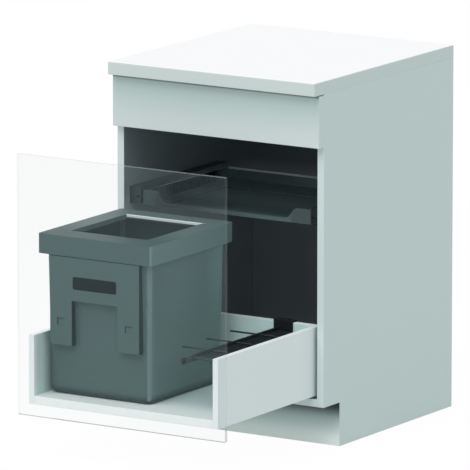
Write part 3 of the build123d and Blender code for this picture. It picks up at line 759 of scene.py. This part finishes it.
@dataclass
class Carcass:
    """Boards, worktop, fixed front and their fasteners.

    Attributes:
        boards: the boards whose inner faces are dark, apart from the left side panel.
        foot_fade: height under the bottom panel over which painted shade darkens the front
            edges.
        inside_fade: how far below the tray the change of painted light on the inner faces
            ends.
        inside_inset: how far behind the front and below the top the dark inside begins.
        front_foot: height above the false front's foot where its painted shade begins.
        front_head: distance below its top where that painted shade is in full.
        front_line: heights from its top between which the painted shadow line there begins.
        toe_pale: height above the plinth's foot where its painted shade begins.
        toe_middle: share of the plinth's height where that painted shade is in full.
        toe_shadow: shares of its height between which its painted shadow gets dark.
    """

    boards: list[str] = field(default_factory=lambda: [
        "side_panel_right", "bottom_panel", "back_panel", "stretcher_front",
        "stretcher_rear", "front_rail"])
    foot_fade: float = 0.01
    inside_fade: float = 0.03
    inside_inset: float = 0.002
    front_foot: float = 0.005
    front_head: float = 0.03
    front_line: Span = (-0.008, -0.002)
    toe_pale: float = 0.01
    toe_middle: float = 0.6
    toe_shadow: Span = (0.5, 0.92)

    def darkened_inside(self, name: str, front: Rgb) -> BoardFinish:
        """Board whose faces inside the carcass are dark, with painted light and shade.

        Args:
            name: the material's name.
            front: colour of the front edges, painted for the light they get.

        Returns:
            The finish.
        """
        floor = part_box("bottom_panel")
        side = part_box("side_panel_right")
        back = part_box("back_panel")
        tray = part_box("tray")
        foot = floor[0].z
        # Painted shade darkens the front edges below the bottom panel.
        return BoardFinish(
            name, BOARD, front=front, right=BOARD_SIDE, inside_dark=InsideDark.DARK,
            bands=(Band(foot, foot - self.foot_fade, (191, 209, 209), on=Face.FRONT),),
            inside_turn=(tray[1].z, tray[0].z - self.inside_fade),
            inside_from=(floor[0].x, side[0].y + self.inside_inset, floor[1].z),
            inside_to=(floor[1].x, back[0].y, side[1].z - self.inside_inset))

    def fixed_front(self) -> BoardFinish:
        """Finish of the false front, which painted shade under the worktop makes darker
        towards its top.
        """
        low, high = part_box("false_front")
        return BoardFinish(
            "front board", (211, 223, 222), right=BOARD_SIDE,
            bands=(Band(low.z + self.front_foot, high.z - self.front_head, (194, 213, 210),
                        on=Face.FRONT),
                   Band(*shift(high.z, self.front_line), (116, 134, 131), on=Face.FRONT)))

    def toe(self) -> BoardFinish:
        """Finish of the plinth board, which painted shade makes dark under the bottom panel.
        """
        low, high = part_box("plinth_board")
        shadow = [high.z * share for share in self.toe_shadow]
        return BoardFinish(
            "plinth board", (240, 252, 248), right=BOARD_SIDE,
            bands=(Band(low.z + self.toe_pale, high.z * self.toe_middle, (182, 202, 200),
                        on=Face.FRONT),
                   Band(*shadow, (36, 51, 49), on=Face.FRONT)))

    def dress(self) -> None:
        """Finish the carcass."""
        dress(self.boards, self.darkened_inside("lined board", (213, 228, 228)))
        dress(["side_panel_left"], self.darkened_inside("lined left board", (219, 229, 229)))
        dress(["false_front"], self.fixed_front())
        dress(["plinth_board"], self.toe())
        # The worktop's faces take painted light by the way they look: white on top, greyer on
        # the edges.
        dress(["worktop"], BoardFinish(
            "worktop laminate", (207, 224, 222), roughness=0.4, gloss=0.5,
            front=(205, 218, 215), top=(246, 247, 249), right=(201, 219, 216)))
        dress(["carcass_dowels", "drawer_dowels"],
              BeechFinish("beech", (196, 158, 112), roughness=0.6))
        dress(["cam_discs", "cam_bolts", "worktop_screws", "false_front_screws",
               "runner_screws"], MetalFinish("zinc plate", (200, 203, 206), roughness=0.3))


@dataclass
class Runners:
    """Both undermount runners.

    Attributes:
        members: the sheet members of one runner.
    """

    members: tuple[str, ...] = ("cabinet", "mid", "drawer")

    def dress(self) -> None:
        """Finish the runners."""
        dress([f"runner_{part}_{side}" for part in self.members for side in SIDES],
              MetalFinish("galvanised sheet", (170, 176, 180), roughness=0.35))
        dress([f"runner_rollers_{side}" for side in SIDES],
              MouldedFinish("roller plastic", (222, 224, 223), roughness=0.35))
        dress([f"runner_catch_{side}" for side in SIDES],
              MouldedFinish("catch plastic", (96, 102, 104), roughness=0.45))


@dataclass
class Drawer:
    """Drawer box and its clear front.

    Attributes:
        plain: colour of the boards.
        white: painted light on their upper edges, which look up.
        side_turns: distances behind the box's front between which the left side's inner
            face takes its middle shade, and then its rear one, in metres.
        floor_turn: the same for the floor's painted shadow.
    """

    plain: Rgb = (226, 238, 237)
    white: Rgb = (248, 255, 255)
    side_turns: tuple[Span, Span] = ((0.004, 0.018), (0.032, 0.06))
    floor_turn: Span = (0.05, 0.16)

    def left_side(self, front: float) -> BoardFinish:
        """Finish of the left side, whose inner face gets darker to the rear by painted shade.

        Args:
            front: Y of the box's front, in metres.

        Returns:
            The finish.
        """
        near, far = (shift(front, turn) for turn in self.side_turns)
        return BoardFinish(
            "drawer side left", self.plain, front=(237, 245, 245), top=self.white,
            right=(252, 254, 252),
            bands=(Band(*near, (212, 235, 232), Axis.BACK, Face.RIGHT),
                   Band(*far, (178, 202, 199), Axis.BACK, Face.RIGHT)))

    def dress(self) -> None:
        """Finish the drawer."""
        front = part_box("drawer_side_left")[0].y
        # Each board's faces take painted light by the way they look; the top edges get the
        # most.
        dress(["drawer_side_right"], BoardFinish(
            "drawer side", self.plain, front=(237, 245, 247), top=self.white,
            right=(228, 241, 240)))
        dress(["drawer_side_left"], self.left_side(front))
        dress(["drawer_back"], BoardFinish(
            "drawer back", self.plain, front=(219, 248, 245), top=self.white))
        # Painted shadow on the floor behind the box's front.
        dress(["drawer_bottom", "drawer_front_rail"], BoardFinish(
            "drawer floor", self.plain, front=(243, 249, 248), top=(234, 245, 243),
            bands=(Band(*shift(front, self.floor_turn), (203, 226, 225), Axis.BACK,
                        Face.TOP),)))
        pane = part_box("clear_front")
        dress(["clear_front"], ClearFinish("clear sheet", (160, 184, 190), roughness=0.08,
                                           low=pane[0].z, high=pane[1].z))


@dataclass
class Bin:
    """Waste bin with its bag frame.

    Attributes:
        pocket_width: width of a grip pocket in metres.
        pocket_height: height of a grip pocket.
        pocket_offset: distance from the bin's middle to a pocket's middle.
        pocket_below_frame: height of the frame's foot above the pockets' top.
        step_depth: how far behind the bin's front the grip's steps reach.
        flank_near: distances behind its front between which painted light makes the flank
            paler.
        flank_far: the same from its rear, where painted light makes the flank paler again.
        flank_foot: heights above its foot between which the painted light on the flank
            changes.
        inside: distances from its middle between which the painted shade on the inner left
            face begins.
        inner_front: distances behind its front between which the painted shade on the inner
            faces begins.
        foot_line: heights above its foot between which the painted shadow at its foot begins.
        frame_turn: distances behind the frame's front between which painted light makes its
            top paler.
    """

    pocket_width: float = 0.021
    pocket_height: float = 0.018
    pocket_offset: float = 0.098
    pocket_below_frame: float = 0.154
    step_depth: float = 0.024
    flank_near: Span = (0.03, 0.13)
    flank_far: Span = (-0.13, -0.03)
    flank_foot: Span = (0.3, 0.08)
    inside: Span = (0.05, -0.05)
    inner_front: Span = (0.05, 0.1)
    foot_line: Span = (0.028, 0.003)
    frame_turn: Span = (0.04, 0.2)

    def pockets(self, middle: float, top: float) -> tuple[Pocket, ...]:
        """Borders of both grip pockets.

        Args:
            middle: X of the bin's middle, in metres.
            top: height of the pockets' top, in metres.

        Returns:
            Left, right, bottom and top of each pocket.
        """
        return tuple(
            (middle + side * self.pocket_offset - self.pocket_width / 2,
             middle + side * self.pocket_offset + self.pocket_width / 2,
             top - self.pocket_height, top) for side in (-1, 1))

    def dress(self) -> None:
        """Finish the bin."""
        low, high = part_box("waste_bin")
        rim_low, rim_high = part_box("bag_frame")
        middle = (rim_low.x + rim_high.x) / 2
        # Painted light and shade on the bin: its flank, corners, grip steps, pockets, inside
        # and foot.
        dress(["waste_bin"], BinFinish(
            "bin plastic", (75, 96, 95), flank=(81, 104, 102), shade=(22, 38, 38),
            step_front=low.y + self.step_depth, painted_corner_light=(109, 130, 129), painted_corner_share=1.0,
            far=(150, 178, 176), skin=0.012,
            pockets=self.pockets(middle, rim_low.z - self.pocket_below_frame),
            bands=(Band(*shift(low.y, self.flank_near), (90, 114, 113), Axis.BACK, Face.RIGHT),
                   Band(*shift(high.y, self.flank_far), (109, 141, 138), Axis.BACK,
                        Face.RIGHT),
                   Band(*shift(low.z, self.flank_foot), (98, 124, 122), on=Face.RIGHT),
                   Band(*shift(middle, self.inside), (62, 80, 79), Axis.ACROSS, Face.RIGHT),
                   Band(*shift(low.y, self.inner_front), (47, 64, 64), Axis.BACK, Face.FRONT),
                   Band(*shift(low.z, self.foot_line), (40, 54, 54)))))
        # Painted light on the frame's right faces, top and right front corners.
        dress(["bag_frame"], MouldedFinish(
            "frame plastic", (73, 94, 93), flank=(99, 123, 122), lit=(52, 74, 73),
            lit_rear=(87, 105, 105), lit_turn=shift(rim_low.y, self.frame_turn),
            painted_corner_light=(122, 142, 141), painted_corner_share=0.8))
        dress(["bag_bar"], MouldedFinish("pale plastic", (226, 240, 238), roughness=0.4))


@dataclass
class UpperTray:
    """Tray above the bin, with its rails.

    Attributes:
        rim: how far below the tray's top a face still belongs to its rim, in metres.
        rim_turn: distances behind its front between which painted light makes the rim bright.
        darker: X between which painted shade makes the plastic darker to the left.
        floor_turn: distances behind its front between which painted light makes the floor
            paler.
        bead: heights above its foot between which the painted highlight on the floor's bead
            begins.
        bead_front: distance behind its front where the bead's painted highlight begins to
            shine.
        face_turn: X between which painted light makes front faces paler to the right.
        left_wing: X between which the painted shade of the front's left wing begins.
        right_wing: X between which the painted shade of the right one begins.
        rear_wall: thickness of the tray's rear part, in which its rear wall lies.
        left_wall: X between which the painted shade inside the left wall begins.
        flank_front: distance behind its front where painted light begins to make the inner
            flanks paler.
        flank_rear: distance before its rear where that painted light is in full.
        rear_rim: heights from its top between which the rear wall's painted highlight along
            its edge begins.
        rear_rim_depth: distance before its rear in which that highlight lies.
        rail_front: distance behind the rails' front where painted light makes their top paler.
        rail_ends: distance from both ends of the rails where the painted light on their flank
            changes.
    """

    rim: float = 0.009
    rim_turn: Span = (0.02, 0.2)
    darker: Span = (0.02, -0.16)
    floor_turn: Span = (0.08, 0.26)
    bead: Span = (0.0035, 0.0042)
    bead_front: float = 0.27
    face_turn: Span = (-0.1, 0.12)
    left_wing: Span = (-0.2, -0.215)
    right_wing: Span = (0.185, 0.195)
    rear_wall: float = 0.05
    left_wall: Span = (-0.15, -0.16)
    flank_front: float = 0.32
    flank_rear: float = 0.02
    rear_rim: Span = (-0.01, -0.008)
    rear_rim_depth: float = 0.02
    rail_front: float = 0.06
    rail_ends: float = 0.1

    def bands(self) -> tuple[Band, ...]:
        """Painted light and shade on the tray, from the widest to the narrowest."""
        low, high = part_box("tray")
        rear = high.y - self.rear_wall
        return (
            Band(*self.darker, (32, 41, 42), Axis.ACROSS),
            Band(*shift(low.y, self.floor_turn), (130, 152, 154), Axis.BACK, Face.TOP),
            Band(*shift(low.z, self.bead), (250, 252, 253), Axis.UP, Face.TOP,
                 behind=low.y + self.bead_front),
            Band(*self.face_turn, (84, 100, 101), Axis.ACROSS, Face.FRONT),
            Band(*self.left_wing, (46, 64, 64), Axis.ACROSS, Face.FRONT),
            Band(*self.right_wing, (70, 85, 86), Axis.ACROSS, Face.FRONT),
            Band(*EVERYWHERE, (98, 120, 121), Axis.ACROSS, Face.FRONT, behind=rear),
            Band(*self.face_turn, (130, 158, 160), Axis.ACROSS, Face.FRONT, behind=rear),
            Band(*self.left_wall, (18, 25, 26), Axis.ACROSS, Face.RIGHT),
            Band(low.y + self.flank_front, high.y - self.flank_rear, (125, 150, 152),
                 Axis.BACK, Face.RIGHT),
            Band(*shift(high.z, self.rear_rim), (236, 240, 242), Axis.UP, Face.FRONT,
                 behind=high.y - self.rear_rim_depth))

    def dress(self) -> None:
        """Finish the tray and the rails."""
        low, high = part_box("tray")
        # Painted light on the tray's top, bright at the rear rim, and painted highlights on
        # its corners.
        dress(["tray", "tray_slide_left", "tray_slide_right"], MouldedFinish(
            "tray plastic", (68, 83, 84), roughness=0.45, painted_corner_light=(90, 104, 105),
            lit=(70, 82, 83), lit_above=high.z - self.rim, lit_rear=(240, 244, 246),
            lit_turn=shift(low.y, self.rim_turn), bands=self.bands()))
        front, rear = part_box("tray_rail_left")
        # Painted light on the rails' top and flank, and painted highlights on their corners.
        dress(["tray_rail_left", "tray_rail_right"], MouldedFinish(
            "rail plastic", (20, 33, 33), roughness=0.4, painted_corner_light=(60, 72, 73),
            lit=(34, 42, 42), lit_rear=(92, 103, 106),
            lit_turn=(front.y + self.rail_front, rear.y),
            bands=(Band(front.y + self.rail_ends, rear.y - self.rail_ends,
                        (130, 142, 146), Axis.BACK, Face.RIGHT),)))
        dress(["tray_rail_pins"], MetalFinish("bright pin", (160, 166, 168), roughness=0.2))


@dataclass
class Divider:
    """Rail, rods and hook to the right of the bin.

    Attributes:
        end_turn: distances behind the rail's front end between which painted light makes it
            paler.
        end_line: the same for the dark line at that end.
    """

    end_turn: Span = (0.08, 0.03)
    end_line: Span = (0.012, 0.008)

    def dress(self) -> None:
        """Finish the divider."""
        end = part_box("divider_rail")[0].y
        paler = shift(end, self.end_turn)
        # Painted light makes the channel paler towards its front end; painted highlights on
        # its corners.
        dress(["divider_rail"], MouldedFinish(
            "black channel", (36, 43, 45), roughness=0.4, painted_corner_light=(70, 80, 82),
            bands=(Band(*paler, (78, 97, 95), Axis.BACK, Face.TOP),
                   Band(*paler, (64, 82, 80), Axis.BACK, Face.RIGHT),
                   Band(*shift(end, self.end_line), (26, 34, 34), Axis.BACK))))
        dress(["divider_hook"], MouldedFinish("hook plastic", (30, 34, 36), roughness=0.4))
        dress(["divider_rods"], MetalFinish("plated rod", (58, 70, 71), roughness=0.4,
                                            metallic=0.5, lines=(1.0, 60.0, 60.0)))


# ---------------------------------------------------------------- studio
@dataclass
class Studio:
    """Camera, floor, lamp and sky.

    Attributes:
        eye: the camera's place.
        azimuth: the camera's turn about Z, from looking along +Y, in radians.
        elevation: how far it looks down, in radians.
        focal_px: focal length in pixels of a picture that is picture_px wide.
        picture_px: the picture's width in pixels.
        sensor: the camera's sensor width in millimetres.
        sight: how far the camera sees, in metres.
        floor_size: half the floor's side in metres.
        floor_white: share of plain white that the camera sees in the floor.
        floor_glow: share of plain white that lights the object from the floor.
        floor_seen: colour of the floor where the camera sees it.
        floor_colour: colour of the floor where it lights the object.
        ambient: strength of the sky's light.
        sun: strength of the sun lamp.
        sun_from: direction towards the sun lamp.
        sun_angle: the sun lamp's width in radians.
    """

    eye: Point = (9.87587, -15.66818, 4.16064)
    azimuth: float = 0.5628
    elevation: float = 0.19533
    focal_px: float = 7652.46
    picture_px: float = 470.0
    sensor: float = 36.0
    sight: float = 500.0
    floor_size: float = 60.0
    floor_white: float = 0.975
    floor_glow: float = 0.35
    floor_seen: Rgb = (254, 254, 254)
    floor_colour: Rgb = (205, 208, 209)
    ambient: float = 0.6
    sun: float = 1.5
    sun_from: Point = (-0.05, -0.55, 0.83)
    sun_angle: float = 0.9

    def camera(self) -> None:
        """Set the camera at the photograph's viewing angle."""
        data = bpy.data.cameras.new("camera")
        data.sensor_width = self.sensor
        data.lens = self.focal_px / self.picture_px * self.sensor
        data.clip_end = self.sight
        item = bpy.data.objects.new("camera", data)
        bpy.context.scene.collection.objects.link(item)
        flat = math.cos(self.elevation)
        look = Vector((-math.sin(self.azimuth) * flat, math.cos(self.azimuth) * flat,
                       -math.sin(self.elevation)))
        item.location = self.eye
        item.rotation_euler = look.to_track_quat("-Z", "Y").to_euler()
        bpy.context.scene.camera = item

    def floor(self) -> None:
        """Lay the pale floor, which shows white and keeps the object's shadow."""
        mesh = bpy.data.meshes.new("floor")
        build = bmesh.new()
        bmesh.ops.create_grid(build, x_segments=1, y_segments=1, size=self.floor_size)
        build.to_mesh(mesh)
        build.free()
        item = bpy.data.objects.new("floor", mesh)
        bpy.context.scene.collection.objects.link(item)
        mesh.materials.append(self.floor_material())

    def floor_material(self) -> bpy.types.Material:
        """Build the floor's finish, which differs where the camera sees it."""
        material = bpy.data.materials.new("floor white")
        material.use_nodes = True
        graph = Graph(material.node_tree)
        seen = self.seen_directly(graph)
        pale = graph.node("ShaderNodeBsdfDiffuse", None, {"Color": linear(self.floor_seen)})
        grey = graph.node("ShaderNodeBsdfDiffuse", None, {"Color": linear(self.floor_colour)})
        white = graph.node("ShaderNodeEmission", None, {"Color": WHITE})
        matt = graph.node("ShaderNodeMixShader", None,
                          {0: seen, 1: grey.outputs[0], 2: pale.outputs[0]})
        share = self.floor_glow + seen * (self.floor_white - self.floor_glow)
        both = graph.node("ShaderNodeMixShader", None,
                          {0: share, 1: matt.outputs[0], 2: white.outputs[0]})
        graph.node("ShaderNodeOutputMaterial", None, {"Surface": both.outputs[0]})
        return material

    @staticmethod
    def seen_directly(graph: Graph) -> Term:
        """One for rays from the camera, from gloss and through clear pieces."""
        path = graph.node("ShaderNodeLightPath")
        rays = [Term(graph, path.outputs[name])
                for name in ("Is Camera Ray", "Is Glossy Ray", "Is Transmission Ray")]
        return (rays[0] + rays[1] + rays[2]).least(1.0)

    def sky(self) -> None:
        """Light the scene from all round, and show white behind it."""
        world = bpy.data.worlds.new("sky")
        world.use_nodes = True
        bpy.context.scene.world = world
        graph = Graph(world.node_tree)
        light, shown = (graph.node("ShaderNodeBackground", None,
                                   {"Color": WHITE, "Strength": strength})
                        for strength in (self.ambient, 1.0))
        both = graph.node("ShaderNodeMixShader", None,
                          {0: self.seen_directly(graph), 1: light.outputs[0],
                           2: shown.outputs[0]})
        graph.node("ShaderNodeOutputWorld", None, {"Surface": both.outputs[0]})

    def lamps(self) -> None:
        """Hang one wide sun lamp in front and above."""
        data = bpy.data.lights.new("sun", "SUN")
        data.energy = self.sun
        data.angle = self.sun_angle
        item = bpy.data.objects.new("sun", data)
        item.rotation_euler = Vector(self.sun_from).to_track_quat("Z", "Y").to_euler()
        bpy.context.scene.collection.objects.link(item)

    def build(self) -> None:
        """Set up the whole studio."""
        bpy.context.scene.view_settings.view_transform = "Standard"
        self.camera()
        self.floor()
        self.sky()
        self.lamps()
        log.info("studio is set")


def main() -> None:
    """Build and dress the cabinet, piece by piece."""
    Studio().build()
    for group in (Carcass(), Runners(), Drawer(), Bin(), UpperTray(), Divider()):
        group.dress()
        log.info("finished %s", type(group).__name__)


if __name__ == "__main__":
    main()
